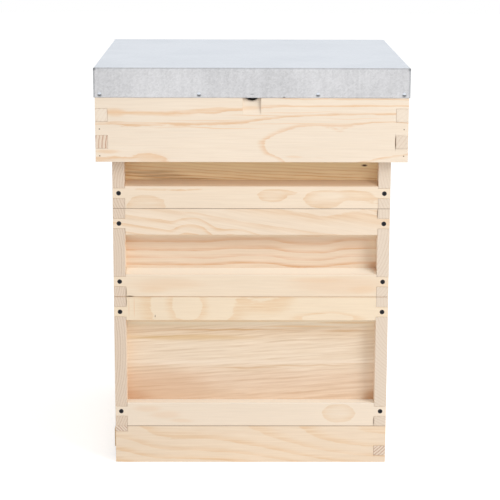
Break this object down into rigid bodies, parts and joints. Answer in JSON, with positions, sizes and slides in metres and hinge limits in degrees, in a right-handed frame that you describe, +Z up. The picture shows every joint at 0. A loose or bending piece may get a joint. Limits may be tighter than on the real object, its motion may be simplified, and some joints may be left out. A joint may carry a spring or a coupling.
{
  "type": "wooden beehive",
  "caption": "Square single-walled wooden beehive: mesh floor with tray and entrance, deep brood box, shallow supers with hanging frames, crown board and deep metal-clad roof.",
  "frame": {"origin": "middle of the footprint, on the ground under the floor", "axes": "+Z up; -Y the front with its hand-holds; +X the bees' entrance; -X where the tray pulls out"},
  "size_m": [0.5162, 0.5142, 0.6775],
  "materials": {
    "pine": "planed",
    "frame_wood": "planed",
    "plywood": "sanded",
    "galvanised": "spangled",
    "black_screws": "satin",
    "beeswax": "waxy"
  },
  "bodies": {
    "floor": {"floor_front_board": "pine", "floor_back_board": "pine", "floor_tail_rail": "pine", "floor_sill": "pine", "floor_battens": "pine", "floor_mesh": "galvanised"},
    "tray": {"inspection_tray": "plywood", "tray_lip": "plywood"},
    "entrance": {"entrance_block": "pine"},
    "brood_box": {"brood_right_wall": "pine", "brood_left_wall": "pine", "brood_front_panel": "pine", "brood_back_panel": "pine", "brood_front_top_rail": "pine", "brood_front_bottom_rail": "pine", "brood_back_rails": "pine", "brood_screws": "black_screws", "brood_frame_runners": "galvanised"},
    "brood_frames": {"brood_top_bars": "frame_wood", "brood_side_bars": "frame_wood", "brood_bottom_bars": "frame_wood", "brood_wax_sheets": "beeswax"},
    "excluder": {"queen_excluder": "galvanised"},
    "lower_super": {"lower_super_right_wall": "pine", "lower_super_left_wall": "pine", "lower_super_front_panel": "pine", "lower_super_back_panel": "pine", "lower_super_front_top_rail": "pine", "lower_super_front_bottom_rail": "pine", "lower_super_back_rails": "pine", "lower_super_screws": "black_screws", "lower_super_frame_spacers": "galvanised"},
    "lower_super_frames": {"lower_super_top_bars": "frame_wood", "lower_super_side_bars": "frame_wood", "lower_super_bottom_bars": "frame_wood", "lower_super_wax_sheets": "beeswax"},
    "upper_super": {"upper_super_right_wall": "pine", "upper_super_left_wall": "pine", "upper_super_front_panel": "pine", "upper_super_back_panel": "pine", "upper_super_front_top_rail": "pine", "upper_super_front_bottom_rail": "pine", "upper_super_back_rails": "pine", "upper_super_screws": "black_screws", "upper_super_frame_spacers": "galvanised"},
    "upper_super_frames": {"upper_super_top_bars": "frame_wood", "upper_super_side_bars": "frame_wood", "upper_super_bottom_bars": "frame_wood", "upper_super_wax_sheets": "beeswax"},
    "crown_board": {"crown_panel": "plywood", "crown_rim": "pine"},
    "roof": {"roof_front_board": "pine", "roof_back_board": "pine", "roof_right_board": "pine", "roof_left_board": "pine", "roof_panel": "plywood", "roof_battens": "pine", "roof_vent_screens": "galvanised", "roof_cover": "galvanised", "roof_nails": "galvanised"}
  },
  "joints": [
    {"name": "brood_box_lift", "type": "slide", "parent": "floor", "child": "brood_box", "axis": [0, 0, 1], "range_m": [0, 0.3]},
    {"name": "brood_frames_lift", "type": "slide", "parent": "brood_box", "child": "brood_frames", "axis": [0, 0, 1], "range_m": [0, 0.24]},
    {"name": "excluder_lift", "type": "slide", "parent": "brood_frames", "child": "excluder", "axis": [0, 0, 1], "range_m": [0, 0.1]},
    {"name": "lower_super_lift", "type": "slide", "parent": "excluder", "child": "lower_super", "axis": [0, 0, 1], "range_m": [0, 0.2]},
    {"name": "lower_frames_lift", "type": "slide", "parent": "lower_super", "child": "lower_super_frames", "axis": [0, 0, 1], "range_m": [0, 0.16]},
    {"name": "upper_super_lift", "type": "slide", "parent": "lower_super_frames", "child": "upper_super", "axis": [0, 0, 1], "range_m": [0, 0.2]},
    {"name": "upper_frames_lift", "type": "slide", "parent": "upper_super", "child": "upper_super_frames", "axis": [0, 0, 1], "range_m": [0, 0.16]},
    {"name": "crown_board_lift", "type": "slide", "parent": "upper_super_frames", "child": "crown_board", "axis": [0, 0, 1], "range_m": [0, 0.1]},
    {"name": "roof_lift", "type": "slide", "parent": "crown_board", "child": "roof", "axis": [0, 0, 1], "range_m": [0, 0.25]},
    {"name": "tray_slide", "type": "slide", "parent": "floor", "child": "tray", "axis": [-1, 0, 0], "range_m": [0, 0.42]},
    {"name": "entrance_block_pull", "type": "slide", "parent": "floor", "child": "entrance", "axis": [1, 0, 0], "range_m": [0, 0.06]}
  ]
}
